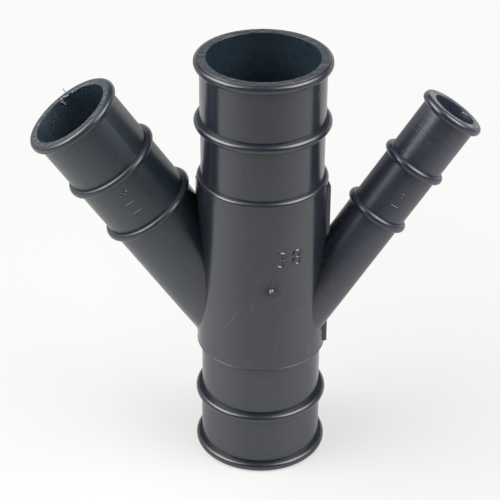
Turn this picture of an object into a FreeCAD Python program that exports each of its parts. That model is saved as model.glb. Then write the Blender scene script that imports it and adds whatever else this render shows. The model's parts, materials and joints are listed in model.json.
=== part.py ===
import FreeCAD, Part
import math
import os
import Sketcher

# Hose manifold moulded in one piece: an upright main tube with a spigot at each end,
# a wide branch leaning left and a narrow branch leaning right.
# Millimetres. +Z runs up the main tube, the origin is the centre of its lower mouth,
# +X is the narrow branch's side and -Y is the front.

os.makedirs("parts", exist_ok=True)

NODE = "manifold_body"
V = FreeCAD.Vector

# Small rounds are drawn in flats: a bead's half-round crest, and a quarter-round corner.
CREST_FLATS = 5
CORNER_FLATS = 3

# Driving sizes: name, value, what it measures.
SIZES = [
    ("total_height", 138.3, "main tube, mouth to mouth"),
    ("main_tube_radius", 19.0, "main tube between bead and sleeve"),
    ("main_wall", 1.8, "wall of the main tube"),
    ("end_step", 0.2, "extra radius between bead and rim"),
    ("main_bead_rise", 2.0, "main rims and beads above the tube"),
    ("main_bead_half", 1.4, "half the width of a main bead"),
    ("main_rim_width", 2.8, "main rim along the tube"),
    ("lower_bead_height", 20.45, "centre of the lower bead"),
    ("upper_bead_drop", 20.75, "centre of the upper bead below the upper mouth"),
    ("sleeve_step", 1.35, "thicker middle above the tube"),
    ("sleeve_bottom", 39.4, "lower step of the sleeve"),
    ("sleeve_drop", 38.8, "upper step of the sleeve below the upper mouth"),
    ("sleeve_round", 1.15, "rounding of the upper step"),
    ("rim_round", 1.3, "rounding of a main rim's outer edges"),
    ("mouth_chamfer", 0.3, "chamfer at a bore's mouth"),
    ("branch_tilt", 34.35, "lean of both branches from the main axis, degrees"),
    ("branch_offset", 6.0, "branch axis to the main tube's middle plane"),
    ("branch_rim_width", 2.65, "branch rim along its tube"),
    ("branch_rim_round", 1.2, "rounding of a branch rim's outer edges"),
    ("outer_bead_drop", 20.7, "branch bead near the mouth, from the mouth"),
    ("inner_bead_drop", 40.0, "branch bead near the root, from the mouth"),
    ("left_axis_height", 36.5, "height where the left axis passes the main axis"),
    ("left_length", 102.15, "left mouth along its axis"),
    ("left_tube_radius", 13.83, "left branch"),
    ("left_wall", 1.58, "wall of the left branch"),
    ("left_bead_rise", 1.59, "left rim and beads above the tube"),
    ("left_bead_half", 1.3, "half the width of a left bead"),
    ("left_root", 1.0, "where the left branch starts inside the main tube"),
    ("left_floor", 2.0, "left bore starts this far above the branch's start"),
    ("right_axis_height", 35.3, "height where the right axis passes the main axis"),
    ("right_length", 102.3, "right mouth along its axis"),
    ("right_tube_radius", 8.82, "right branch"),
    ("right_wall", 1.84, "wall of the right branch"),
    ("right_bead_rise", 1.52, "right rim and beads above the tube"),
    ("right_bead_half", 1.4, "half the width of a right bead"),
    ("right_root", 5.0, "where the right branch starts inside the main tube"),
    ("right_floor", 1.0, "right bore starts this far above the branch's start"),
    ("land_sink", 0.25, "flat lands at the sleeve's sides, below its crown"),
    ("land_bottom_gap", 0.9, "lands above the sleeve's lower step"),
    ("land_top_gap", 2.7, "lands below the sleeve's upper step"),
    ("right_land_reach", 7.2, "right land, forward of the middle plane"),
    ("left_land_reach", 5.4, "left land, behind the middle plane"),
    ("cut_over", 4.0, "how far a bore's cut runs past the mouth"),
]

# Sizes that follow from the driving ones.
DERIVED = [
    ("main_crest_radius", "=main_tube_radius + main_bead_rise"),
    ("main_end_radius", "=main_tube_radius + end_step"),
    ("main_bore_radius", "=main_tube_radius - main_wall"),
    ("main_bead_core", "=main_crest_radius - main_bead_half"),
    ("main_corner", "=min(rim_round; main_rim_width * 0.48)"),
    ("lower_bead_under", "=lower_bead_height - main_bead_half"),
    ("lower_bead_over", "=lower_bead_height + main_bead_half"),
    ("upper_bead_under", "=total_height - upper_bead_drop - main_bead_half"),
    ("upper_bead_over", "=total_height - upper_bead_drop + main_bead_half"),
    ("upper_rim_under", "=total_height - main_rim_width"),
    ("sleeve_radius", "=main_tube_radius + sleeve_step"),
    ("sleeve_top", "=total_height - sleeve_drop"),
    ("sleeve_corner", "=min(sleeve_round; sleeve_step * 0.9)"),
    ("branch_corner", "=min(branch_rim_round; branch_rim_width * 0.48)"),
    ("main_cut_bottom", "=-cut_over"),
    ("main_cut_top", "=total_height + cut_over"),
    ("main_flare_radius", "=main_bore_radius + mouth_chamfer + cut_over"),
    ("main_flare_top", "=total_height - mouth_chamfer"),
    ("land_half_width", "=sleeve_radius - land_sink"),
    ("land_inner", "=main_bore_radius + main_wall * 0.4"),
    ("land_bottom", "=sleeve_bottom + land_bottom_gap"),
    ("land_height", "=sleeve_top - land_top_gap - land_bottom"),
]

# The same for each branch; SIDE is left or right.
BRANCH_DERIVED = [
    ("SIDE_crest_radius", "=SIDE_tube_radius + SIDE_bead_rise"),
    ("SIDE_bore_radius", "=SIDE_tube_radius - SIDE_wall"),
    ("SIDE_bead_core", "=SIDE_crest_radius - SIDE_bead_half"),
    ("SIDE_inner_under", "=SIDE_length - inner_bead_drop - SIDE_bead_half"),
    ("SIDE_inner_over", "=SIDE_length - inner_bead_drop + SIDE_bead_half"),
    ("SIDE_outer_under", "=SIDE_length - outer_bead_drop - SIDE_bead_half"),
    ("SIDE_outer_over", "=SIDE_length - outer_bead_drop + SIDE_bead_half"),
    ("SIDE_rim_under", "=SIDE_length - branch_rim_width"),
    ("SIDE_bore_start", "=SIDE_root + SIDE_floor"),
    ("SIDE_cut_end", "=SIDE_length + cut_over"),
    ("SIDE_flare_radius", "=SIDE_bore_radius + mouth_chamfer + cut_over"),
    ("SIDE_flare_start", "=SIDE_length - mouth_chamfer"),
]

doc = FreeCAD.newDocument("manifold")
sheet = doc.addObject("Spreadsheet::Sheet", "dims")


def fill_sheet():
    rows = [(meaning, str(number), name) for name, number, meaning in SIZES]
    rows += [(name.replace("_", " "), formula, name) for name, formula in DERIVED]
    for side in ("left", "right"):
        for name, formula in BRANCH_DERIVED:
            name = name.replace("SIDE", side)
            rows.append((name.replace("_", " "), formula.replace("SIDE", side), name))
    for number, (meaning, content, name) in enumerate(rows, 1):
        sheet.set("A%d" % number, meaning)
        sheet.set("B%d" % number, content)
        sheet.setAlias("B%d" % number, name)
    doc.recompute()


def size(name):
    # A named size, or 0 for a line that lies on the sketch's own axis.
    return 0.0 if name is None else float(sheet.get(name))


fill_sheet()
body = doc.addObject("PartDesign::Body", NODE)
body.Label = NODE
doc.recompute()


def new_sketch(name, role):
    sketch = body.newObject("Sketcher::SketchObject", name)
    plane = [feature for feature in body.Origin.OriginFeatures if feature.Role == role][0]
    sketch.AttachmentSupport = [(plane, "")]
    sketch.MapMode = "FlatFace"
    return sketch


def branch_sketch(name, side):
    # The sketch's upright axis is the branch's axis: leaned sideways, and set behind
    # the middle plane for the left branch or in front of it for the right one.
    sketch = new_sketch(name, "XZ_Plane")
    sign = 1 if side == "left" else -1
    lean = FreeCAD.Rotation(V(0, 0, 1), size("branch_tilt"))
    sketch.AttachmentOffset = FreeCAD.Placement(V(0, 0, 0), lean)
    sketch.setExpression("AttachmentOffset.Base.y", "dims.%s_axis_height" % side)
    sketch.setExpression("AttachmentOffset.Base.z", "%d * dims.branch_offset" % -sign)
    sketch.setExpression("AttachmentOffset.Rotation.Angle", "%d * dims.branch_tilt" % sign)
    return sketch


def hold(sketch, geometry, point, direction, expression, now):
    # Ties a sketch point to a size across or along, or to the sketch's own axis.
    if expression is None:
        axis = -2 if direction == "X" else -1
        sketch.addConstraint(Sketcher.Constraint("PointOnObject", geometry, point, axis))
        return
    kind = "Distance" + direction
    if now < 0:
        constraint = Sketcher.Constraint(kind, geometry, point, -1, 1, -now)
        expression = "-(%s)" % expression
    else:
        constraint = Sketcher.Constraint(kind, -1, 1, geometry, point, now)
    index = sketch.addConstraint(constraint)
    sketch.setExpression("Constraints[%d]" % index, expression)


def named(name):
    return None if name is None else "dims." + name


def line_end(line, joint, neighbour):
    # Where a line of the outline ends at the joint with its neighbour.
    kind, name = line
    if joint and joint[0] == "crest":
        return V(size(joint[1]), size(name), 0)
    if joint and joint[0] == "flare":
        if kind == "across":
            return V(size(joint[1]), size(name), 0)
        return V(size(name), size(joint[2]), 0)
    if kind == "across":
        return V(size(neighbour[1]), size(name), 0)
    return V(size(name), size(neighbour[1]), 0)


def draw_round(sketch, before, after, centre, across, along, radius, flats):
    # A convex round drawn in flats, from the end of one line to the start of the next.
    # across, along and radius are the expressions of its centre and its radius.
    line, _, end = before
    following, start, _ = after
    first = math.degrees(math.atan2(end.y - centre.y, end.x - centre.x))
    sweep = math.degrees((end - centre).getAngle(start - centre))
    reach = (end - centre).Length
    corner = end
    last = line
    for i in range(1, flats + 1):
        angle = first + sweep * i / flats
        turn = math.radians(angle)
        point = start if i == flats else centre + V(math.cos(turn), math.sin(turn), 0) * reach
        flat = sketch.addGeometry(Part.LineSegment(corner, point), False)
        sketch.addConstraint(Sketcher.Constraint("Coincident", last, 2, flat, 1))
        if i < flats:
            hold(sketch, flat, 2, "X", "%s + %s * cos(%.6f deg)" % (across, radius, angle), point.x)
            hold(sketch, flat, 2, "Y", "%s + %s * sin(%.6f deg)" % (along, radius, angle), point.y)
        corner = point
        last = flat
    sketch.addConstraint(Sketcher.Constraint("Coincident", last, 2, following, 1))


def draw_joint(sketch, joint, lines, drawn, i):
    # The joint between line i of the outline and the next one.
    after = (i + 1) % len(lines)
    line, begin, end = drawn[i]
    following, start, _ = drawn[after]
    kind, name = lines[i]
    other = lines[after][1]
    if joint is None:
        sketch.addConstraint(Sketcher.Constraint("Coincident", line, 2, following, 1))
    elif joint[0] == "crest":
        middle = "(%s + %s) / 2" % (named(name), named(other))
        radius = "(%s - %s) / 2" % (named(other), named(name))
        hold(sketch, line, 2, "X", named(joint[1]), end.x)
        hold(sketch, following, 1, "X", named(joint[1]), start.x)
        draw_round(sketch, drawn[i], drawn[after], (end + start) * 0.5,
                   named(joint[1]), middle, radius, CREST_FLATS)
    elif joint[0] == "flare":
        slant = sketch.addGeometry(Part.LineSegment(end, start), False)
        sketch.addConstraint(Sketcher.Constraint("Coincident", line, 2, slant, 1))
        sketch.addConstraint(Sketcher.Constraint("Coincident", slant, 2, following, 1))
        wide, narrow = (1, 2) if end.x > start.x else (2, 1)
        hold(sketch, slant, wide, "X", named(joint[1]), max(end.x, start.x))
        hold(sketch, slant, narrow, "Y", named(joint[2]), size(joint[2]))
    else:
        outward = kind == "across"
        level, upright = (name, other) if outward else (other, name)
        centre = V(end.x, start.y, 0) if outward else V(start.x, end.y, 0)
        across = "(%s - %s)" % (named(upright), named(joint[1]))
        side = "+" if outward else "-"
        along = "(%s %s %s)" % (named(level) or "0", side, named(joint[1]))
        tall, flat = (following, line) if outward else (line, following)
        hold(sketch, flat, 2 if outward else 1, "X", across, centre.x)
        hold(sketch, tall, 1 if outward else 2, "Y", along, centre.y)
        draw_round(sketch, drawn[i], drawn[after], centre, across, along, named(joint[1]), CORNER_FLATS)


def draw_profile(sketch, outline):
    # The outline runs outward along the foot, up the outside, inward, and down the axis.
    # "across" is a line at a height and "along" a line at a radius. Between two lines,
    # "round" is a rounded corner, "crest" the half circle that crowns a bead (with its
    # centre's radius) and "flare" a slant from a radius to a height.
    lines = []
    joints = []
    for step in outline:
        if step[0] in ("across", "along"):
            lines.append(step)
            joints.append(None)
        else:
            joints[-1] = step
    count = len(lines)
    drawn = []
    for i in range(count):
        start = line_end(lines[i], joints[i - 1], lines[i - 1])
        end = line_end(lines[i], joints[i], lines[(i + 1) % count])
        run = (end - start).normalize()
        if joints[i - 1] and joints[i - 1][0] == "round":
            start = start + run * size(joints[i - 1][1])
        if joints[i] and joints[i][0] == "round":
            end = end - run * size(joints[i][1])
        line = sketch.addGeometry(Part.LineSegment(start, end), False)
        drawn.append((line, start, end))
    for i in range(count):
        draw_joint(sketch, joints[i], lines, drawn, i)
    for i in range(count):
        kind, name = lines[i]
        level = "Horizontal" if kind == "across" else "Vertical"
        sketch.addConstraint(Sketcher.Constraint(level, drawn[i][0]))
        direction = "Y" if kind == "across" else "X"
        hold(sketch, drawn[i][0], 1, direction, named(name), size(name))


def revolve(kind, name, sketch):
    feature = body.newObject("PartDesign::" + kind, name)
    feature.Profile = sketch
    feature.ReferenceAxis = (sketch, ["V_Axis"])
    feature.Angle = 360.0
    sketch.Visibility = False
    doc.recompute()
    return feature


def check_cut(before, name):
    # A cut that removes nothing would leave the wall closed.
    if body.Shape.Volume > before - 1.0:
        raise RuntimeError(name + " removed nothing")


# Outside of the main tube: rim, bead, sleeve, bead, rim.
main_outline = new_sketch("main_outline", "XZ_Plane")
draw_profile(main_outline, [
    ("across", None),
    ("round", "main_corner"),
    ("along", "main_crest_radius"),
    ("round", "main_corner"),
    ("across", "main_rim_width"),
    ("along", "main_end_radius"),
    ("across", "lower_bead_under"),
    ("crest", "main_bead_core"),
    ("across", "lower_bead_over"),
    ("along", "main_tube_radius"),
    ("across", "sleeve_bottom"),
    ("along", "sleeve_radius"),
    ("round", "sleeve_corner"),
    ("across", "sleeve_top"),
    ("along", "main_tube_radius"),
    ("across", "upper_bead_under"),
    ("crest", "main_bead_core"),
    ("across", "upper_bead_over"),
    ("along", "main_end_radius"),
    ("across", "upper_rim_under"),
    ("round", "main_corner"),
    ("along", "main_crest_radius"),
    ("round", "main_corner"),
    ("across", "total_height"),
    ("along", None),
])
revolve("Revolution", "main_tube", main_outline)


# Outside of a branch: plain root, two beads, rim.
for side in ("left", "right"):
    outline = branch_sketch(side + "_outline", side)
    draw_profile(outline, [
        ("across", side + "_root"),
        ("along", side + "_tube_radius"),
        ("across", side + "_inner_under"),
        ("crest", side + "_bead_core"),
        ("across", side + "_inner_over"),
        ("along", side + "_tube_radius"),
        ("across", side + "_outer_under"),
        ("crest", side + "_bead_core"),
        ("across", side + "_outer_over"),
        ("along", side + "_tube_radius"),
        ("across", side + "_rim_under"),
        ("round", "branch_corner"),
        ("along", side + "_crest_radius"),
        ("round", "branch_corner"),
        ("across", side + "_length"),
        ("along", None),
    ])
    revolve("Revolution", side + "_branch", outline)


# Flat lands along the mould's parting line, one on each side of the sleeve.
def hold_rectangle(sketch, x_near, x_far, y_far, x_sign, y_sign):
    corners = [
        V(x_sign * size(x_near), 0, 0),
        V(x_sign * size(x_far), 0, 0),
        V(x_sign * size(x_far), y_sign * size(y_far), 0),
        V(x_sign * size(x_near), y_sign * size(y_far), 0),
    ]
    edges = []
    for i in range(4):
        edges.append(sketch.addGeometry(Part.LineSegment(corners[i], corners[(i + 1) % 4]), False))
    for i in range(4):
        sketch.addConstraint(Sketcher.Constraint("Coincident", edges[i], 2, edges[(i + 1) % 4], 1))
        level = "Horizontal" if i % 2 == 0 else "Vertical"
        sketch.addConstraint(Sketcher.Constraint(level, edges[i]))
    sketch.addConstraint(Sketcher.Constraint("PointOnObject", edges[0], 1, -1))
    for edge, point, direction, name, sign in (
            (edges[0], 1, "X", x_near, x_sign),
            (edges[0], 2, "X", x_far, x_sign),
            (edges[1], 2, "Y", y_far, y_sign)):
        kind = "Distance" + direction
        if sign > 0:
            index = sketch.addConstraint(Sketcher.Constraint(kind, -1, 1, edge, point, size(name)))
        else:
            index = sketch.addConstraint(Sketcher.Constraint(kind, edge, point, -1, 1, size(name)))
        sketch.setExpression("Constraints[%d]" % index, "dims." + name)


lands = new_sketch("land_outline", "XY_Plane")
lands.setExpression("AttachmentOffset.Base.z", "dims.land_bottom")
hold_rectangle(lands, "land_inner", "land_half_width", "right_land_reach", 1, -1)
hold_rectangle(lands, "land_inner", "land_half_width", "left_land_reach", -1, 1)
land_pad = body.newObject("PartDesign::Pad", "side_lands")
land_pad.Profile = lands
land_pad.setExpression("Length", "dims.land_height")
lands.Visibility = False
doc.recompute()


# Main bore, open at both ends.
solid_volume = body.Shape.Volume
main_cut = new_sketch("main_bore_outline", "XZ_Plane")
draw_profile(main_cut, [
    ("across", "main_cut_bottom"),
    ("flare", "main_flare_radius", "mouth_chamfer"),
    ("along", "main_bore_radius"),
    ("flare", "main_flare_radius", "main_flare_top"),
    ("across", "main_cut_top"),
    ("along", None),
])
revolve("Groove", "main_bore", main_cut)
check_cut(solid_volume, "main bore")


# Branch bores, from the mouth down into the main bore.
for side in ("left", "right"):
    solid_volume = body.Shape.Volume
    cut = branch_sketch(side + "_bore_outline", side)
    draw_profile(cut, [
        ("across", side + "_bore_start"),
        ("along", side + "_bore_radius"),
        ("flare", side + "_flare_radius", side + "_flare_start"),
        ("across", side + "_cut_end"),
        ("along", None),
    ])
    revolve("Groove", side + "_bore", cut)
    check_cut(solid_volume, side + " bore")


doc.recompute()
for thing in doc.Objects:
    if "Invalid" in thing.State or "Error" in thing.State:
        raise RuntimeError("%s is in a failed state" % thing.Name)
shape = body.Shape
if shape.isNull() or not shape.isValid():
    raise RuntimeError("the body's shape is not valid")
if len(shape.Solids) != 1:
    raise RuntimeError("the body is %d solids" % len(shape.Solids))
box = shape.BoundBox
print("solids", len(shape.Solids), "faces", len(shape.Faces), "volume", round(shape.Volume, 1))
print("box", [round(v, 2) for v in (box.XMin, box.YMin, box.ZMin, box.XMax, box.YMax, box.ZMax)])
shape.exportStep(os.path.join("parts", NODE + ".step"))
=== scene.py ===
import json
import math

import bpy
from mathutils import Matrix, Quaternion, Vector


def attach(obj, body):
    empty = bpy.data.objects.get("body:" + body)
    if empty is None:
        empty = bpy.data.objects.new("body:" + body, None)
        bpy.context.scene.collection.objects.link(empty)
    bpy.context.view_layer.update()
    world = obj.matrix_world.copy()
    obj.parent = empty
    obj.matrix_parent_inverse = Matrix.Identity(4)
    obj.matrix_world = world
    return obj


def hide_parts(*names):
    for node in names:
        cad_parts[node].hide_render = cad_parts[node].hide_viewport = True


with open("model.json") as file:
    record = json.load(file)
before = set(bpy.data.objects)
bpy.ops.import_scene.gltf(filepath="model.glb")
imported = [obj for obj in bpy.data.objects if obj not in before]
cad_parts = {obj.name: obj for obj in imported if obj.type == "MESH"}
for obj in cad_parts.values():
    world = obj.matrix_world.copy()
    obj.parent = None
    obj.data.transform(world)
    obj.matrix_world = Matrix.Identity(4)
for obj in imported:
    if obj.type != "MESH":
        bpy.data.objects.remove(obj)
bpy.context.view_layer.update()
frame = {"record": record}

record = frame["record"]
mounts = {m["name"]: m for m in record["mounts"]}
MM = 0.001

# Sizes in millimetres, the same as in the part.
total_height = mounts["upper_spigot"]["pos_m"][2] / MM
main_radius = 19.0
main_end_radius = 19.2
main_crest = 21.0
main_bore = mounts["main_bore"]["dims"]["r_mm"]
branch_bore = {side: mounts[side + "_branch_bore"]["dims"]["r_mm"] for side in ("left", "right")}
lower_bead = 20.45
upper_bead = 117.55
main_bead_half = 1.4
main_rim_width = 2.8
main_rim_round = 1.3
sleeve_radius = 20.35
sleeve_bottom = 39.4
sleeve_top = 99.5
sleeve_round = 1.15
bore_edge = 0.15
mouth_slope = 0.4
burr_round = 0.22
burr_inset = 0.1
branch_length = {"left": 102.15, "right": 102.3}
branch_radius = {"left": 13.83, "right": 8.82}
branch_crest = {"left": 15.42, "right": 10.34}
branch_root = {"left": 1.0, "right": 5.0}
branch_bore_root = {"left": 3.0, "right": 6.0}
outer_bead_drop = 20.7
inner_bead_drop = 40.0
branch_bead_half = {"left": 1.3, "right": 1.4}
branch_rim_width = 2.65
branch_rim_round = 1.2
land_half_width = 20.1
land_inner = 17.9
land_bottom = 40.3
land_top = 96.8
right_land_reach = 7.2
left_land_reach = 5.4
cut_over = 4.0

# Steps round each tube and round each rounding. In metres, how close points are merged and
# the shortest step of an outline.
main_steps = 224
branch_steps = {"left": 176, "right": 144}
nub_steps = 20
bead_steps = 14
round_steps = 8
burr_steps = 6
lip_steps = 4
merge_gap = 1e-6
shortest_step = 1e-7

# Raised numerals: numeral, angle from the front, place along the tube.
main_number = [("3", 8.5, 79.2), ("8", 22.5, 79.2)]
left_number = [("1", -2, 69.0), ("1", -2, 72.7), ("8", -1, 76.6)]
right_number = [("1", -3.5, 68.9), ("9", 0, 73.0)]
main_number_height = 5.6
left_number_height = 3.1
right_number_height = 2.5
number_depth = 0.4
number_rise = 0.05
# Shares of a numeral's height: its chamfer, its thinning, and its height in the type's own size.
number_edge = 0.055
number_thinning = 0.032
capital_share = 0.72

# The nub where the mould was fed: angle from the front and height, and its outline.
gate_place = (-0.5, 68.9)
nub_base = 1.0
nub_depth = 0.6
nub_round = 0.8
nub_round_centre = 0.15
nub_height = 0.72
# Threads of flash: points, thickness, paleness.
flash_threads = [
    ([(-57.3, 19.2, 120.8), (-57.7, 19.6, 121.0), (-58.1, 19.6, 121.4), (-58.5, 19.6, 121.8),
      (-58.7, 19.6, 122.2), (-58.3, 19.6, 122.4)], 0.24, 0.3),
    ([(-59.4, 18.5, 119.7), (-59.2, 17.6, 119.5), (-58.9, 17.6, 118.8),
      (-58.2, 17.6, 117.8)], 0.34, 1.0),
    ([(-59.8, 18.1, 119.1), (-59.3, 17.6, 118.7), (-58.6, 17.6, 118.4),
      (-58.0, 17.7, 118.5)], 0.24, 0.8),
    ([(-58.7, 18.3, 120.1), (-57.9, 18.1, 120.4), (-57.1, 18.1, 120.9)], 0.5, 0.7),
    ([(-56.1, 18.1, 121.5), (-55.6, 18.1, 122.1)], 0.5, 0.9),
    ([(-55.3, 17.9, 122.0), (-54.1, 17.5, 123.1), (-52.9, 16.9, 124.0), (-51.7, 16.0, 124.7),
      (-50.5, 14.9, 125.5), (-49.3, 13.2, 126.5)], 0.3, 0.35),
    ([(61.4, -1.2, 116.2), (62.1, -2.1, 116.0), (62.8, -3.1, 115.7)], 0.34, 1.0),
]
# Scratches on the main wall, unrolled: across from the front and up, half width, strength.
wall_scratches = [
    ((-11.1, 60.0), (-13.5, 55.6), 0.35, 0.8),
    ((-13.5, 55.6), (-15.8, 52.5), 0.3, 0.7),
    ((-15.8, 52.5), (-16.1, 50.1), 0.3, 0.6),
    ((-6.3, 64.1), (-6.3, 61.9), 0.35, 0.9),
    ((8.6, 60.0), (10.7, 55.9), 0.28, 0.8),
    ((9.5, 60.3), (11.6, 56.4), 0.25, 0.6),
    ((13.6, 44.5), (13.7, 42.1), 0.6, 0.6),
    ((1.6, 49.5), (0.5, 41.4), 0.4, 0.35),
    ((-6.5, 49.7), (-6.5, 46.7), 0.4, 0.3),
    ((2.5, 104.4), (2.6, 104.1), 0.35, 0.8),
    ((-9.5, 89.5), (-9.6, 89.1), 0.3, 0.7),
    ((-11.9, 128.0), (-12.0, 127.7), 0.3, 0.6),
]
# Scratches on the branches: two points, half width, strength.
branch_scratches = [
    ((16.8, -11.2, 73.2), (17.1, -11.3, 73.1), 0.45, 1.0),
    ((18.0, -11.9, 73.9), (19.6, -12.5, 74.0), 0.2, 0.7),
    ((18.0, -11.9, 73.2), (19.6, -12.5, 73.3), 0.2, 0.7),
    ((22.7, -13.4, 77.1), (22.9, -13.5, 77.0), 0.35, 0.6),
    ((23.2, -14.5, 73.5), (23.4, -14.5, 73.3), 0.35, 0.8),
    ((47.8, -13.6, 113.2), (48.0, -13.6, 113.0), 0.35, 0.8),
    ((-52.0, 16.9, 124.7), (-50.7, 15.9, 125.7), 0.6, 0.9),
    ((-48.3, -4.3, 123.5), (-44.3, -4.3, 117.4), 0.25, 0.3),
    ((-45.7, -4.2, 119.9), (-42.0, -4.2, 114.4), 0.25, 0.35),
    ((-44.3, -6.0, 113.4), (-41.5, -6.0, 109.2), 0.25, 0.3),
]
# Rubbed patches, mottled paler: centre, reach, strength.
rubbed_patches = [
    ((-15.5, -13.2, 60.4), 5.0, 0.5),
    ((-3.5, -20.1, 62.0), 4.5, 0.5),
    ((-9.0, -18.3, 91.0), 6.0, 0.35),
    ((6.5, -19.3, 87.0), 5.0, 0.25),
    ((-6.5, -19.3, 45.0), 4.0, 0.35),
    ((12.5, -16.1, 46.0), 4.0, 0.8),
    ((4.0, -20.0, 44.0), 3.5, 0.4),
    ((15.3, -11.4, 131.5), 3.0, 0.9),
    ((-33.0, -4.2, 79.0), 6.5, 0.7),
    ((-46.0, -7.5, 108.0), 7.0, 0.3),
    ((-14.0, -12.5, 32.0), 5.0, 0.3),
]
# How dull and pale the cores left each bore, how near its wall a point counts as part of it,
# and where along a branch its bore begins.
bore_dullness = {"main": 0.4, "left": 1.1, "right": 0.9}
bore_skin = 0.1
branch_bore_begins = 25
# Wear, and where the painted reflection goes: how far below an end its face and its rounding
# reach, and the wear of the rounding.
end_face_reach = 0.02
rounding_reach = 0.8
rounding_wear = 0.08
# Smoother beads and rim of the narrow branch: from where along it, how far above its wall,
# and within which radius.
smooth_begins = 50
smooth_above = 0.12
smooth_within = 12
# The painted highlight on the gate nub: its upper left is made paler, where the left light would
# catch it.
highlight_above = 0.35
highlight_reach = 1.5
highlight_side = 0.25
nub_highlight_strength = 0.5

# A fade is two limits and, where they aren't 0 and 1, the values at them.
# By distance from the main axis: where its wall, the branches and its bore begin and end.
main_wall_inside = (main_radius - 0.6, main_radius - 0.2)
main_wall_outside = (main_crest + 0.6, main_crest + 0.3)
branch_reach = (main_crest + 0.2, main_crest + 6.0)
main_bore_reach = (main_radius - 0.6, main_bore + 0.2)
# Where the left side turns into the right, and what counts as the narrow branch and an end face.
side_change = (-1.0, 1.0)
narrow_branch = (0.5, 0.9)
end_face_only = (0.5, 0.9)

# Unevenness of the plastic: scale per millimetre and detail. Streaks and drag marks are drawn
# out along their tube.
cloud_grade = (0.06, 3.0)
mottle_grade = (0.45, 3.0)
blotch_grade = (1.1, 1.0)
grain_grade = (1.9, 2.0)
patch_grade = (0.22, 2.0)
streak_grade = (0.8, 3.0)
streak_stretch = 0.94
drag_grade = (1.0, 3.0)
drag_stretch = (0.9, 0.05, 1)
speck_scale = 0.32
speck_size = 0.075
speck_chance = (0.86, 0.9)
# Turning lines: how fine, over what length they grow at the outer bead, and their share inside.
turning_scale = 2.4
turning_change = 2.0
turning_inner = 0.1

# The dull ring round the gate: its edge, how uneven that is, and its gap round the nub.
ring_edge = (5.6, 2.4)
ring_unevenness = 2.2
ring_gap = (0.9, 1.2)
# How blotches and grain break up wear of each kind.
ring_breaks = (0.36, 0.56, 0.15, 1.0)
scratch_breaks = (0.4, 0.6, 0.2, 1.0)
rubbed_breaks = (0.48, 0.62)
scuff_breaks = (0.52, 0.7)
patch_breaks = (0.42, 0.58, 0.2, 1.0)

# Tone of the base colour over each kind of unevenness, and what the ring takes off.
cloud_tone = (0.3, 0.7, 0.9, 1.1)
mottle_tone = (0.25, 0.75, 0.88, 1.12)
grain_tone = (0.2, 0.8, 0.9, 1.12)
streak_tone = (-0.3, 0.3, 0.85, 1.15)
ring_tone = 0.6
# Paleness that wear of each kind adds, with the paleness of the painted highlight on the gate nub
# and of the painted reflection on the end faces.
scratch_paleness = 0.035
speck_paleness = 0.06
nub_highlight_paleness = 0.3
scuff_paleness = 0.03
rubbed_paleness = 0.012
# Paleness of the painted reflection on the end faces: on the narrow branch, and on either branch.
narrow_end_painted_reflection = 0.11
branch_end_painted_reflection = 0.008
# Roughness of the plain wall, and what each place and kind of wear adds or takes off.
cloud_rough = (0.3, 0.7, 0.18, 0.22)
drag_rough = (0.35, 0.7, -0.01, 0.03)
branch_rough = 0.1
right_side_rough = (0.075, 0.03)
smooth_round_gloss = 0.08
end_rough = 0.1
bore_rough = 0.1
dull_rough = 0.4
rubbed_dullness = 0.4
most_rough = 0.7
# How much the plastic bends light, and how strongly it mirrors.
plastic_bend = 1.5
plastic_shine = 0.8
# Relief of each kind, in hundredths of a millimetre.
grain_relief = 0.7
end_grain_relief = 5.0
mottle_relief = 1.2
ring_relief = 14.0
blotch_relief = 16.0
end_face_relief = (0.2, 0.8, 14.0, 60.0)
end_mottle_share = 2.0
drag_relief = 1.2
turning_relief = 8.0
turning_relief_lost = 7.5
scratch_depth = 1.5
# Edges sharper than this stay sharp, in degrees.
sharp_angle = 32

# Base colours of the plastic on the main tube, whose bore is as the left branch, and on either
# branch, and the tint of worn plastic, which the painted highlight and painted reflection share.
main_colour = (0.016, 0.0192, 0.0275, 1)
left_colour = (0.0122, 0.0205, 0.0285, 1)
right_colour = (0.0175, 0.0208, 0.037, 1)
wear_and_painted_light_tint = (1.0, 1.03, 1.06)

# Room, in metres. Floor: size, colours, how far its shading reaches, the painted shade that
# darkens its paper towards the front, and the glow with a painted pool of light on the left.
floor_size = 2.4
floor_white = (0.96, 0.955, 0.95, 1)
floor_shade_colour = (0.27, 0.264, 0.258, 1)
floor_shade_reach = (0.03, 0.22)
floor_rough = 0.5
paper_painted_front_shade = (-0.05, -0.45, 0.58, 0.31)
# The glow the camera sees near the object, stronger on the left as a painted pool of light.
floor_glow_and_painted_light = (0.0, -0.05, 0.53, 0.59)
# Softboxes: name, azimuth, elevation, distance, width, height, power.
lit_point = (0, 0, 0.07)
softboxes = [
    ("left_softbox", -87, 40, 0.6, 0.62, 0.46, 2.7),
    ("left_softbox_core", -85, 38, 0.58, 0.3, 0.26, 0.85),
    ("right_softbox", 62, 42, 0.6, 0.56, 0.46, 2.4),
    ("right_softbox_core", 60, 42, 0.58, 0.28, 0.26, 0.6),
]
# The dim room, and a glow round each softbox: azimuth, elevation, inner and outer reach, strength.
room_level = 0.12
room_glows = [(-95, 48, 15, 45, 1.4), (68, 48, 15, 45, 1.4)]
room_colour = (1, 0.995, 0.99, 1)
# The pale sweep behind: strength, where it begins and ends, and where it falls away.
sweep_strength = 0.85
sweep_back = (0.2, 0.6)
sweep_height = (0.44, 0.26)
sweep_left = (-0.05, -0.35)
sweep_low = (0.2, 0.0)
sweep_left_loss = 0.85
background_seen = 0.955

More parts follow.
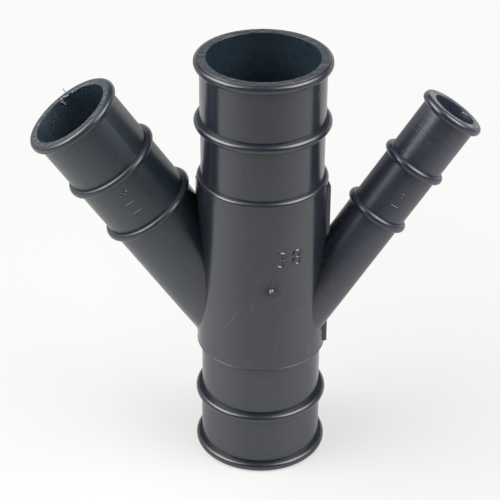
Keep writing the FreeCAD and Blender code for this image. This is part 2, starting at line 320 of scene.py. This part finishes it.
# Camera, as the photograph was taken (degrees, millimetres; the nearest it sees in metres).
camera_azimuth = -8.867
camera_elevation = 31.047
camera_roll = 0.342
camera_distance = 580.12
camera_side = -3.688
camera_target_height = 71.542
camera_lens = 132.88
camera_sensor = 36
camera_clip = 0.01


def deselect():
    if bpy.context.object and bpy.context.object.mode != "OBJECT":
        bpy.ops.object.mode_set(mode="OBJECT")
    bpy.ops.object.select_all(action="DESELECT")


def arc(centre_r, centre_z, radius, first, last, steps):
    # Points of a round in an outline, angles in degrees from outward.
    points = []
    for i in range(steps + 1):
        turn = math.radians(first + (last - first) * i / steps)
        points.append((centre_r + radius * math.cos(turn), centre_z + radius * math.sin(turn)))
    return points


def run(radius, low, high, pitch=6.0):
    # A straight stretch of wall, in steps short enough to shade evenly.
    count = max(1, round((high - low) / pitch))
    return [(radius, low + (high - low) * i / count) for i in range(count + 1)]


def bead(height, crest, half):
    return arc(crest - half, height, half, -90, 90, bead_steps)


def rim(low, high, crest, rounding):
    lower = arc(crest - rounding, low + rounding, rounding, -90, 0, round_steps)
    upper = arc(crest - rounding, high - rounding, rounding, 0, 90, round_steps)
    return lower + upper


def draw_line(name, points):
    # A line of edges through points in metres, left in edit mode.
    deselect()
    bpy.ops.mesh.primitive_plane_add(size=MM, location=(0, 0, 0))
    line = bpy.context.object
    line.name = name
    line.data.name = name
    bpy.ops.object.mode_set(mode="EDIT")
    bpy.ops.mesh.select_all(action="SELECT")
    bpy.ops.mesh.merge(type="CENTER")
    here = points[0]
    bpy.ops.transform.translate(value=here)
    for there in points[1:]:
        step = there - here
        if step.length < shortest_step:
            continue
        bpy.ops.mesh.extrude_region_move(TRANSFORM_OT_translate={"value": step})
        here = there
    return line


def close_surface():
    # Merges double points and turns all faces outward, in edit mode.
    bpy.ops.mesh.select_all(action="SELECT")
    bpy.ops.mesh.remove_doubles(threshold=merge_gap)
    bpy.ops.mesh.normals_make_consistent(inside=False)
    bpy.ops.object.mode_set(mode="OBJECT")


def lathe(name, outline, steps):
    # A closed solid of revolution about Z from an outline that starts and ends on the axis.
    solid = draw_line(name, [Vector((r * MM, 0, z * MM)) for r, z in outline])
    bpy.ops.mesh.select_all(action="SELECT")
    bpy.ops.mesh.spin(steps=steps, angle=math.tau, center=(0, 0, 0), axis=(0, 0, 1))
    close_surface()
    return solid


def apply_place(piece, matrix):
    piece.matrix_world = matrix
    deselect()
    piece.select_set(True)
    bpy.context.view_layer.objects.active = piece
    bpy.ops.object.transform_apply(location=True, rotation=True, scale=True)


def branch_matrix(side):
    # Puts a branch made about Z onto its own leaned and offset axis.
    mount = mounts[side + "_spigot"]
    axis = Vector(mount["axis"]).normalized()
    root = Vector(mount["pos_m"]) - axis * branch_length[side] * MM
    along = Vector((0, 1, 0)).cross(axis).normalized()
    turn = Matrix((along, Vector((0, 1, 0)), axis)).transposed().to_4x4()
    return Matrix.Translation(root) @ turn


def combine(body, tool, operation):
    deselect()
    body.select_set(True)
    bpy.context.view_layer.objects.active = body
    modifier = body.modifiers.new(operation.lower(), "BOOLEAN")
    modifier.operation = operation
    modifier.solver = "MANIFOLD"
    modifier.object = tool
    bpy.ops.object.modifier_apply(modifier=modifier.name)
    bpy.data.objects.remove(tool)


def main_tube():
    outline = [(0, 0)]
    outline += rim(0, main_rim_width, main_crest, main_rim_round)
    outline += run(main_end_radius, main_rim_width, lower_bead - main_bead_half)
    outline += bead(lower_bead, main_crest, main_bead_half)
    outline += run(main_radius, lower_bead + main_bead_half, sleeve_bottom)
    burr_centre = (sleeve_radius - burr_inset, sleeve_bottom + burr_round)
    outline += arc(*burr_centre, burr_round, -90, 60, burr_steps)
    outline += run(sleeve_radius, sleeve_bottom + 3 * burr_round, sleeve_top - sleeve_round)
    step_centre = (sleeve_radius - sleeve_round, sleeve_top - sleeve_round)
    outline += arc(*step_centre, sleeve_round, 0, 90, round_steps)
    outline += run(main_radius, sleeve_top, upper_bead - main_bead_half)
    outline += bead(upper_bead, main_crest, main_bead_half)
    outline += run(main_end_radius, upper_bead + main_bead_half, total_height - main_rim_width)
    outline += rim(total_height - main_rim_width, total_height, main_crest, main_rim_round)
    outline += [(0, total_height)]
    return lathe("manifold", outline, main_steps)


def branch_tube(side):
    length = branch_length[side]
    radius = branch_radius[side]
    crest = branch_crest[side]
    inner = length - inner_bead_drop
    outer = length - outer_bead_drop
    half = branch_bead_half[side]
    outline = [(0, branch_root[side])]
    outline += run(radius, branch_root[side], inner - half)
    outline += bead(inner, crest, half)
    outline += run(radius, inner + half, outer - half)
    outline += bead(outer, crest, half)
    outline += run(radius, outer + half, length - branch_rim_width)
    outline += rim(length - branch_rim_width, length, crest, branch_rim_round)
    outline += [(0, length)]
    tube = lathe(side + "_branch", outline, branch_steps[side])
    apply_place(tube, branch_matrix(side))
    return tube


def mouth(radius, height):
    # The small rounding at a bore's mouth, widening past the end face.
    points = arc(radius + bore_edge, height - bore_edge, bore_edge, 180, 105, lip_steps)
    lip_r, lip_z = points[-1]
    flare = 2 * bore_edge
    widened = lip_r + flare
    return points + [(widened, lip_z + mouth_slope * flare), (widened, height + cut_over)]


def main_bore_cut():
    upper = mouth(main_bore, total_height)
    lower = [(r, total_height - z) for r, z in reversed(upper)]
    outline = [(0, -cut_over)] + lower + run(main_bore, bore_edge, total_height - bore_edge)[1:-1]
    outline += upper + [(0, total_height + cut_over)]
    return lathe("main_bore_cut", outline, main_steps)


def branch_bore_cut(side):
    radius = branch_bore[side]
    length = branch_length[side]
    outline = [(0, branch_bore_root[side])]
    outline += run(radius, branch_bore_root[side], length - bore_edge)[:-1]
    outline += mouth(radius, length) + [(0, length + cut_over)]
    cut = lathe(side + "_bore_cut", outline, branch_steps[side])
    apply_place(cut, branch_matrix(side))
    return cut


def side_land(side):
    sign = 1 if side == "right" else -1
    reach = right_land_reach if side == "right" else left_land_reach
    near, far = sign * land_inner, sign * land_half_width
    deselect()
    centre = ((near + far) / 2 * MM, -sign * reach / 2 * MM, (land_bottom + land_top) / 2 * MM)
    extent = (abs(far - near) * MM, reach * MM, (land_top - land_bottom) * MM)
    bpy.ops.mesh.primitive_cube_add(size=1, location=centre, scale=extent)
    land = bpy.context.object
    land.name = side + "_land"
    bpy.ops.object.transform_apply(location=True, rotation=True, scale=True)
    return land


def tube_matrix(tube):
    return Matrix.Identity(4) if tube == "main" else branch_matrix(tube)


def wall_frame(tube, radius, angle, along):
    # Centre, outward direction and axis at a point of a tube's wall; 0 degrees is the front.
    matrix = tube_matrix(tube)
    turn = math.radians(angle)
    outward = Vector((math.sin(turn), -math.cos(turn), 0))
    centre = matrix @ ((outward * radius + Vector((0, 0, along))) * MM)
    turned = matrix.to_3x3()
    return centre, (turned @ outward).normalized(), (turned @ Vector((0, 0, 1))).normalized()


def facing(place, reading, outward):
    # Turns what was made flat about Z to face outward at a place.
    turn = Matrix((reading, outward.cross(reading), outward)).transposed().to_4x4()
    return Matrix.Translation(place) @ turn


def raised_number(tube, radius, digits, height):
    # Plain raised numerals, each set flat on the wall.
    # On a branch they read towards the mouth, on the main tube round it.
    for numeral, angle, along in digits:
        centre, outward, axis = wall_frame(tube, radius, angle, along)
        reading = axis.cross(outward) if tube == "main" else axis
        deselect()
        bpy.ops.object.text_add(location=(0, 0, 0))
        digit = bpy.context.object
        digit.name = "numeral"
        digit.data.body = numeral
        digit.data.size = height * MM / capital_share
        digit.data.align_x = "CENTER"
        digit.data.align_y = "CENTER"
        digit.data.extrude = number_depth * MM
        digit.data.bevel_depth = number_edge * height * MM
        digit.data.bevel_resolution = 0
        digit.data.offset = -number_thinning * height * MM
        digit.data.resolution_u = 4
        bpy.ops.object.convert(target="MESH")
        bpy.ops.object.mode_set(mode="EDIT")
        close_surface()
        sunk = centre - outward * (number_depth - number_rise) * MM
        apply_place(digit, facing(sunk, reading, outward))
        combine(manifold, digit, "UNION")


def gate_mark():
    centre, outward, axis = wall_frame("main", sleeve_radius, *gate_place)
    outline = [(0, -nub_depth), (nub_base, -nub_depth), (nub_base, 0)]
    outline += arc(nub_round_centre, 0, nub_round, 10, 80, burr_steps) + [(0, nub_height)]
    nub = lathe("gate_nub", outline, nub_steps)
    apply_place(nub, facing(centre, outward.cross(axis), outward))
    combine(manifold, nub, "UNION")


def shred(points, thickness):
    # A thread of flash, drawn through points and given a round section.
    thread = draw_line("flash", [Vector(point) * MM for point in points])
    bpy.ops.object.mode_set(mode="OBJECT")
    bpy.ops.object.convert(target="CURVE")
    thread.data.bevel_depth = thickness * MM / 2
    thread.data.bevel_resolution = 1
    thread.data.use_fill_caps = True
    bpy.ops.object.convert(target="MESH")
    bpy.ops.object.mode_set(mode="EDIT")
    close_surface()
    return thread


def mark_points(name, value_at):
    # A number at every point of the surface, for the plastic to read.
    values = [value_at(v.co / MM) for v in manifold.data.vertices]
    layer = manifold.data.attributes.new(name, "FLOAT", "POINT")
    layer.data.foreach_set("value", values)


def from_axis(side, point):
    # How far along a branch's axis a point lies, and how far off it.
    mount = mounts[side + "_spigot"]
    axis = Vector(mount["axis"]).normalized()
    away = point - Vector(mount["pos_m"]) / MM
    along = away.dot(axis)
    return along + branch_length[side], (away - axis * along).length


def bore_light(point):
    # Bores are left duller and paler by the cores that formed them.
    if math.hypot(point.x, point.y) < main_bore + bore_skin:
        return bore_dullness["main"]
    for side in ("left", "right"):
        along, off = from_axis(side, point)
        if along > branch_bore_begins and off < branch_bore[side] + bore_skin:
            return bore_dullness[side]
    return 0.0


def worn_end(point):
    # 1 on the four end faces, which are cut and scuffed, and little on their roundings.
    # The same mark places the painted reflection on the end faces.
    below = min(total_height - point.z, point.z)
    for side in ("left", "right"):
        along, off = from_axis(side, point)
        if off < branch_crest[side] + bore_skin:
            below = min(below, branch_length[side] - along)
    if below < end_face_reach:
        return 1.0
    return rounding_wear if below < rounding_reach else 0.0


def smooth_round(point):
    # 1 on the beads and rim of the narrow branch, which are smoother than its wall.
    along, off = from_axis("right", point)
    standing_out = branch_radius["right"] + smooth_above < off < smooth_within
    return 1.0 if along > smooth_begins and standing_out else 0.0


def painted_nub_highlight(point):
    # Painted highlight: pale on the upper left of the gate nub, the side the left light catches.
    out = math.hypot(point.x, point.y) - sleeve_radius
    above = point.z - gate_place[1]
    if out < highlight_above or point.y > 0 or math.hypot(point.x, above) > highlight_reach:
        return 0.0
    return nub_highlight_strength if above - point.x > highlight_side else 0.0


manifold = main_tube()
for side in ("left", "right"):
    combine(manifold, branch_tube(side), "UNION")
    combine(manifold, side_land(side), "UNION")
gate_mark()
raised_number("left", branch_radius["left"], left_number, left_number_height)
raised_number("right", branch_radius["right"], right_number, right_number_height)
raised_number("main", sleeve_radius, main_number, main_number_height)
combine(manifold, main_bore_cut(), "DIFFERENCE")
for side in ("left", "right"):
    combine(manifold, branch_bore_cut(side), "DIFFERENCE")
mark_points("bore", bore_light)
mark_points("worn_and_painted_reflection", worn_end)
mark_points("round", smooth_round)
# The painted highlight on the gate nub, as a point mark shared with the paler flash threads.
mark_points("pale_flash_and_painted_highlight", painted_nub_highlight)

threads = []
for points, thickness, paleness in flash_threads:
    thread = shred(points, thickness)
    pale_flash_and_painted_highlight = thread.data.attributes.new("pale_flash_and_painted_highlight", "FLOAT", "POINT")
    pale_flash_and_painted_highlight.data.foreach_set("value", [paleness] * len(thread.data.vertices))
    threads.append(thread)
deselect()
for thread in threads:
    thread.select_set(True)
manifold.select_set(True)
bpy.context.view_layer.objects.active = manifold
bpy.ops.object.join()
bpy.ops.object.shade_smooth_by_angle(angle=math.radians(sharp_angle))
weights = manifold.modifiers.new("even_shading", "WEIGHTED_NORMAL")
weights.keep_sharp = True
bpy.ops.object.modifier_apply(modifier=weights.name)


class Wiring:
    # Short ways to add and join the nodes of one material or of the room.
    def __init__(self, tree):
        self.nodes, self.links = tree.nodes, tree.links

    def give(self, socket, value):
        if isinstance(value, bpy.types.NodeSocket):
            self.links.new(value, socket)
        else:
            socket.default_value = value

    def add(self, kind, inputs=(), **settings):
        node = self.nodes.new("ShaderNode" + kind)
        for name, value in settings.items():
            setattr(node, name, value)
        for key, value in dict(inputs).items():
            self.give(node.inputs[key], value)
        return node

    def calc(self, operation, *values):
        return self.add("Math", enumerate(values), operation=operation).outputs[0]

    def vector(self, operation, first, second=(0, 0, 0), scale=1.0):
        node = self.add("VectorMath", {0: first, 1: second, 3: scale}, operation=operation)
        return node.outputs["Value" if operation in ("DOT_PRODUCT", "LENGTH") else "Vector"]

    def fade(self, value, low, high, at_low=0.0, at_high=1.0, shape="SMOOTHSTEP"):
        sockets = {"Value": value, "From Min": low, "From Max": high}
        sockets.update({"To Min": at_low, "To Max": at_high})
        return self.add("MapRange", sockets, interpolation_type=shape).outputs["Result"]

    def split(self, value):
        return self.add("SeparateXYZ", {0: value}).outputs

    def noise(self, place, scale, detail):
        inputs = {"Vector": place, "Scale": scale, "Detail": detail}
        return self.add("TexNoise", inputs).outputs["Fac"]

    def spots(self, place, scale, size):
        # Small round dots scattered in cells, few of which hold one.
        cells = self.add("TexVoronoi", {"Vector": place, "Scale": scale})
        chance = self.add("SeparateColor", {0: cells.outputs["Color"]}).outputs[0]
        dot = self.fade(cells.outputs["Distance"], size, size * 0.5)
        return self.calc("MULTIPLY", dot, self.fade(chance, *speck_chance))

    def blend(self, share, first, second):
        return self.add("Mix", {0: share, 6: first, 7: second}, data_type="RGBA").outputs[2]

    def blend_places(self, share, first, second):
        return self.add("Mix", {0: share, 4: first, 5: second}, data_type="VECTOR").outputs[1]

    def mark(self, name):
        return self.add("Attribute", attribute_name=name).outputs["Fac"]

    def line(self, place, start, end, half):
        # 1 on a thin line from start to end, fading out at its half width.
        run = Vector(end) - Vector(start)
        away = self.vector("SUBTRACT", place, start)
        share = self.calc("DIVIDE", self.vector("DOT_PRODUCT", away, run.normalized()), run.length)
        share = self.calc("MINIMUM", self.calc("MAXIMUM", share, 0.0), 1.0)
        nearest = self.vector("SCALE", tuple(run), scale=share)
        gap = self.vector("LENGTH", self.vector("SUBTRACT", away, nearest))
        return self.fade(gap, half, half * 0.3)


# Plastic.
def black_plastic():
    # Satin black plastic: cloudy tone, fine grain, faint lengthwise drag marks, scratches, a
    # painted highlight on the gate nub and painted reflection on the end faces.
    material = bpy.data.materials.new("black_plastic")
    material.use_nodes = True
    wiring = Wiring(material.node_tree)
    calc, vector, fade, noise = wiring.calc, wiring.vector, wiring.fade, wiring.noise
    shader = wiring.nodes["Principled BSDF"]

    place = vector("SCALE", wiring.add("TexCoord").outputs["Object"], scale=1 / MM)
    x, y, z = wiring.split(place)
    bore, worn_and_painted_reflection, pale_flash_and_painted_highlight, rounds = (wiring.mark(name) for name in ("bore", "worn_and_painted_reflection", "pale_flash_and_painted_highlight", "round"))

    # The main wall unrolled: round it in millimetres, and up.
    around = calc("ARCTAN2", x, calc("MULTIPLY", y, -1.0))
    wall = wiring.add("CombineXYZ", {0: calc("MULTIPLY", around, sleeve_radius), 1: z}).outputs[0]
    radial = calc("SQRT", calc("ADD", calc("MULTIPLY", x, x), calc("MULTIPLY", y, y)))
    outside_bore = fade(radial, *main_wall_inside)
    main_wall = calc("MULTIPLY", outside_bore, fade(radial, *main_wall_outside))

    # 1 on both branches, and on the narrow one alone.
    on_branch = fade(radial, *branch_reach)
    to_right = fade(x, *side_change)
    sign = calc("SUBTRACT", calc("MULTIPLY", to_right, 2.0), 1.0)
    narrow = fade(calc("MULTIPLY", on_branch, sign), *narrow_branch)

    # A branch's own place, drawn out along its axis for lengthwise streaks.
    drawn_out = []
    for side in ("left", "right"):
        axis = tuple(mounts[side + "_spigot"]["axis"])
        shift = calc("MULTIPLY", vector("DOT_PRODUCT", place, axis), -streak_stretch)
        drawn_out.append(vector("ADD", place, vector("SCALE", axis, scale=shift)))
    streaks = noise(wiring.blend_places(to_right, *drawn_out), *streak_grade)

    cloud = noise(place, *cloud_grade)
    mottle = noise(place, *mottle_grade)
    blotch = noise(place, *blotch_grade)
    grain = noise(place, *grain_grade)
    drag = noise(vector("MULTIPLY", wall, drag_stretch), *drag_grade)
    specks = wiring.spots(place, speck_scale, speck_size)

    # Fine turning lines round the outer part of the narrow branch.
    mount = mounts["right_spigot"]
    along = vector("DOT_PRODUCT", place, tuple(mount["axis"]))
    outer = Vector(mount["pos_m"]).dot(Vector(mount["axis"])) / MM - outer_bead_drop
    change = (outer - turning_change, outer + turning_change)
    rings = wiring.add("TexNoise", noise_dimensions="1D")
    wiring.give(rings.inputs["W"], along)
    wiring.give(rings.inputs["Scale"], turning_scale)
    turned = calc("MULTIPLY", rings.outputs["Fac"], narrow)
    turned = calc("MULTIPLY", turned, fade(along, *change, turning_inner, 1.0))

    # Scratches, broken up on the main wall.
    scratches = 0.0
    for start, end, half, strength in wall_scratches:
        stroke = calc("MULTIPLY", wiring.line(wall, (*start, 0), (*end, 0), half), strength)
        scratches = calc("MAXIMUM", scratches, stroke)
    broken = calc("MULTIPLY", main_wall, fade(blotch, *scratch_breaks))
    scratches = calc("MULTIPLY", scratches, broken)
    for start, end, half, strength in branch_scratches:
        stroke = calc("MULTIPLY", wiring.line(place, start, end, half), strength)
        scratches = calc("MAXIMUM", scratches, stroke)

    # The dull mottled ring round the gate.
    gate_angle, gate_height = gate_place
    gate_centre = (math.radians(gate_angle) * sleeve_radius, gate_height, 0)
    gate_gap = vector("LENGTH", vector("SUBTRACT", wall, gate_centre))
    uneven_gap = calc("ADD", gate_gap, calc("MULTIPLY", mottle, ring_unevenness))
    ring = calc("MULTIPLY", fade(uneven_gap, *ring_edge), main_wall)
    ring = calc("MULTIPLY", ring, fade(blotch, *ring_breaks))
    ring = calc("MULTIPLY", ring, fade(gate_gap, *ring_gap))

    # Rubbed patches, in fine blotches.
    rubbed = 0.0
    for centre, reach, strength in rubbed_patches:
        gap = vector("LENGTH", vector("SUBTRACT", place, centre))
        rubbed = calc("MAXIMUM", rubbed, fade(gap, reach, reach * 0.3, 0.0, strength))
    rubbed = calc("MULTIPLY", rubbed, fade(blotch, *rubbed_breaks))

    # Colour.
    streaky = calc("MULTIPLY", on_branch, calc("SUBTRACT", streaks, 0.5))
    tone = fade(cloud, *cloud_tone)
    tone = calc("MULTIPLY", tone, fade(mottle, *mottle_tone))
    tone = calc("MULTIPLY", tone, fade(grain, *grain_tone))
    tone = calc("MULTIPLY", tone, fade(streaky, *streak_tone))
    tone = calc("MULTIPLY", tone, calc("ADD", bore, 1.0))
    tone = calc("MULTIPLY", tone, calc("SUBTRACT", 1.0, calc("MULTIPLY", ring, ring_tone)))
    branch_tint = wiring.blend(to_right, left_colour, right_colour)
    main_tint = wiring.blend(fade(radial, *main_bore_reach), main_colour, left_colour)
    dark = vector("SCALE", wiring.blend(on_branch, main_tint, branch_tint), scale=tone)
    light = calc("MULTIPLY", scratches, scratch_paleness)
    light = calc("MAXIMUM", light, calc("MULTIPLY", specks, speck_paleness))
    # Painted highlight: the upper left of the gate nub made paler; the flash threads are paler
    # too.
    light = calc("ADD", light, calc("MULTIPLY", pale_flash_and_painted_highlight, nub_highlight_paleness))
    scuffed = calc("MULTIPLY", fade(grain, *scuff_breaks), calc("MULTIPLY", worn_and_painted_reflection, scuff_paleness))
    light = calc("ADD", calc("ADD", light, scuffed), calc("MULTIPLY", rubbed, rubbed_paleness))
    # Painted reflection: the end faces are made paler in patches, most on the narrow branch,
    # standing in for the bright backdrop they mirror.
    patchy = fade(noise(place, *patch_grade), *patch_breaks)
    painted_reflection_patches = calc("MULTIPLY", fade(worn_and_painted_reflection, *end_face_only), patchy)
    end_painted_reflection = calc("MULTIPLY", narrow, narrow_end_painted_reflection)
    end_painted_reflection = calc("ADD", end_painted_reflection, calc("MULTIPLY", on_branch, branch_end_painted_reflection))
    light = calc("ADD", light, calc("MULTIPLY", painted_reflection_patches, end_painted_reflection))
    colour = vector("ADD", dark, vector("SCALE", wear_and_painted_light_tint, scale=light))
    wiring.give(shader.inputs["Base Color"], colour)

    # Gloss.
    rough = fade(cloud, *cloud_rough)
    rough = calc("ADD", rough, calc("MULTIPLY", fade(drag, *drag_rough), main_wall))
    rougher = calc("MULTIPLY", to_right, fade(along, *change, *right_side_rough))
    rough = calc("ADD", rough, calc("MULTIPLY", on_branch, calc("ADD", rougher, branch_rough)))
    rough = calc("SUBTRACT", rough, calc("MULTIPLY", rounds, smooth_round_gloss))
    rough = calc("ADD", rough, calc("MULTIPLY", worn_and_painted_reflection, end_rough))
    rough = calc("ADD", rough, calc("MULTIPLY", bore, bore_rough))
    dull = calc("MAXIMUM", ring, calc("MULTIPLY", rubbed, rubbed_dullness))
    rough = calc("ADD", rough, calc("MULTIPLY", dull, dull_rough))
    wiring.give(shader.inputs["Roughness"], calc("MINIMUM", rough, most_rough))

    # Relief.
    grained = calc("ADD", grain_relief, calc("MULTIPLY", worn_and_painted_reflection, end_grain_relief))
    relief = calc("MULTIPLY", grain, grained)
    relief = calc("ADD", relief, calc("MULTIPLY", grain, on_branch))
    mottled = calc("ADD", mottle_relief, calc("MULTIPLY", ring, ring_relief))
    relief = calc("ADD", relief, calc("MULTIPLY", mottle, mottled))
    blotched = calc("MULTIPLY", calc("ADD", ring, bore), blotch_relief)
    relief = calc("ADD", relief, calc("MULTIPLY", blotch, blotched))
    uneven = calc("MULTIPLY", calc("MULTIPLY", worn_and_painted_reflection, worn_and_painted_reflection), fade(on_branch, *end_face_relief))
    lumps = calc("ADD", blotch, calc("MULTIPLY", mottle, end_mottle_share))
    relief = calc("ADD", relief, calc("MULTIPLY", lumps, uneven))
    dragged = calc("MULTIPLY", main_wall, drag_relief)
    relief = calc("ADD", relief, calc("MULTIPLY", drag, dragged))
    ring_height = calc("SUBTRACT", turning_relief, calc("MULTIPLY", rounds, turning_relief_lost))
    relief = calc("ADD", relief, calc("MULTIPLY", turned, ring_height))
    relief = calc("SUBTRACT", relief, calc("MULTIPLY", scratches, scratch_depth))
    bump = wiring.add("Bump", {"Strength": 1.0, "Distance": 0.01 * MM, "Height": relief})
    wiring.give(shader.inputs["Normal"], bump.outputs["Normal"])

    shader.inputs["IOR"].default_value = plastic_bend
    shader.inputs["Specular IOR Level"].default_value = plastic_shine
    return material


manifold.data.materials.clear()
manifold.data.materials.append(black_plastic())
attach(manifold, "root")
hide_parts("manifold_body")


# Room: pale floor, plain soft light.
def floor_material():
    # Lit pale paper, darker towards the front by painted shade. The camera sees it nearly white,
    # and only near the object with its shading, plus a painted pool of light on the left.
    material = bpy.data.materials.new("pale_floor")
    material.use_nodes = True
    wiring = Wiring(material.node_tree)
    wiring.nodes.remove(wiring.nodes["Principled BSDF"])
    place = wiring.add("TexCoord").outputs["Object"]
    x, y, _ = wiring.split(place)

    # Painted shade: the paper's colour falls off towards the front, for what the object mirrors.
    front_shade = wiring.fade(y, *paper_painted_front_shade, shape="LINEAR")
    paper = wiring.add("BsdfPrincipled", {"Roughness": floor_rough, "Base Color": front_shade})

    shaded = wiring.add("BsdfDiffuse", {"Color": floor_shade_colour})
    # Painted light: the glow is stronger left of the object, a pool of light painted on the floor.
    sideways = wiring.fade(x, *floor_glow_and_painted_light, shape="LINEAR")
    glow_and_painted_light = wiring.add("Emission", {"Color": floor_white, "Strength": sideways})
    near = wiring.add("AddShader", {0: shaded.outputs[0], 1: glow_and_painted_light.outputs[0]})
    white = wiring.add("Emission", {"Color": floor_white})
    away = wiring.fade(wiring.vector("LENGTH", place), *floor_shade_reach)
    seen = wiring.add("MixShader", {0: away, 1: near.outputs[0], 2: white.outputs[0]})

    camera_ray = wiring.add("LightPath").outputs["Is Camera Ray"]
    look = wiring.add("MixShader", {0: camera_ray, 1: paper.outputs[0], 2: seen.outputs[0]})
    wiring.give(wiring.nodes["Material Output"].inputs["Surface"], look.outputs[0])
    return material


deselect()
bpy.ops.mesh.primitive_plane_add(size=floor_size, location=(0, 0, 0))
floor = bpy.context.object
floor.name = "floor"
floor.data.materials.append(floor_material())


def direction(azimuth, elevation):
    # A direction from the object, in degrees; azimuth 0 is the front.
    a, e = math.radians(azimuth), math.radians(elevation)
    return Vector((math.sin(a) * math.cos(e), -math.cos(a) * math.cos(e), math.sin(e)))


def softbox(name, azimuth, elevation, distance, width, height, power):
    away = direction(azimuth, elevation)
    light = bpy.data.lights.new(name, "AREA")
    light.shape = "RECTANGLE"
    light.size = width
    light.size_y = height
    light.energy = power
    lamp = bpy.data.objects.new(name, light)
    lamp.location = Vector(lit_point) + away * distance
    lamp.rotation_mode = "QUATERNION"
    lamp.rotation_quaternion = (-away).to_track_quat("-Z", "Y")
    bpy.context.scene.collection.objects.link(lamp)


for row in softboxes:
    softbox(*row)


def room_light():
    # A dim room with a glow round each softbox and a pale sweep low behind the object.
    world = bpy.data.worlds.new("room")
    bpy.context.scene.world = world
    world.use_nodes = True
    wiring = Wiring(world.node_tree)
    calc, fade = wiring.calc, wiring.fade
    around = wiring.add("TexCoord").outputs["Generated"]
    level = room_level
    for azimuth, elevation, near, wide, strength in room_glows:
        towards = wiring.vector("DOT_PRODUCT", around, tuple(direction(azimuth, elevation)))
        edge, core = math.cos(math.radians(wide)), math.cos(math.radians(near))
        level = calc("ADD", fade(towards, edge, core, 0.0, strength), level)

    # The sweep, which falls away low on the left.
    x, y, z = wiring.split(around)
    sweep = fade(y, *sweep_back, 0.0, fade(z, *sweep_height, 0.0, sweep_strength))
    low_left = fade(x, *sweep_left, 0.0, fade(z, *sweep_low, 0.0, sweep_left_loss))
    sweep = calc("MULTIPLY", sweep, calc("SUBTRACT", 1.0, low_left))
    level = calc("ADD", level, sweep)

    camera_ray = wiring.add("LightPath").outputs["Is Camera Ray"]
    seen = wiring.add("Mix", {0: camera_ray, 2: level, 3: background_seen})
    background = wiring.nodes["Background"]
    wiring.give(background.inputs["Strength"], seen.outputs[0])
    background.inputs["Color"].default_value = room_colour


room_light()


# Camera.
out = direction(camera_azimuth, camera_elevation)
turn = math.radians(camera_azimuth)
sideways = Vector((math.cos(turn), math.sin(turn), 0))
aim = (sideways * camera_side + Vector((0, 0, camera_target_height))) * MM
camera_data = bpy.data.cameras.new("camera")
camera_data.lens = camera_lens
camera_data.sensor_width = camera_sensor
camera_data.clip_start = camera_clip
camera = bpy.data.objects.new("camera", camera_data)
camera.location = aim + out * camera_distance * MM
camera.rotation_mode = "QUATERNION"
level = (-out).to_track_quat("-Z", "Y")
camera.rotation_quaternion = level @ Quaternion((0, 0, 1), math.radians(camera_roll))
bpy.context.scene.collection.objects.link(camera)
bpy.context.scene.camera = camera
bpy.context.scene.view_settings.view_transform = "Standard"
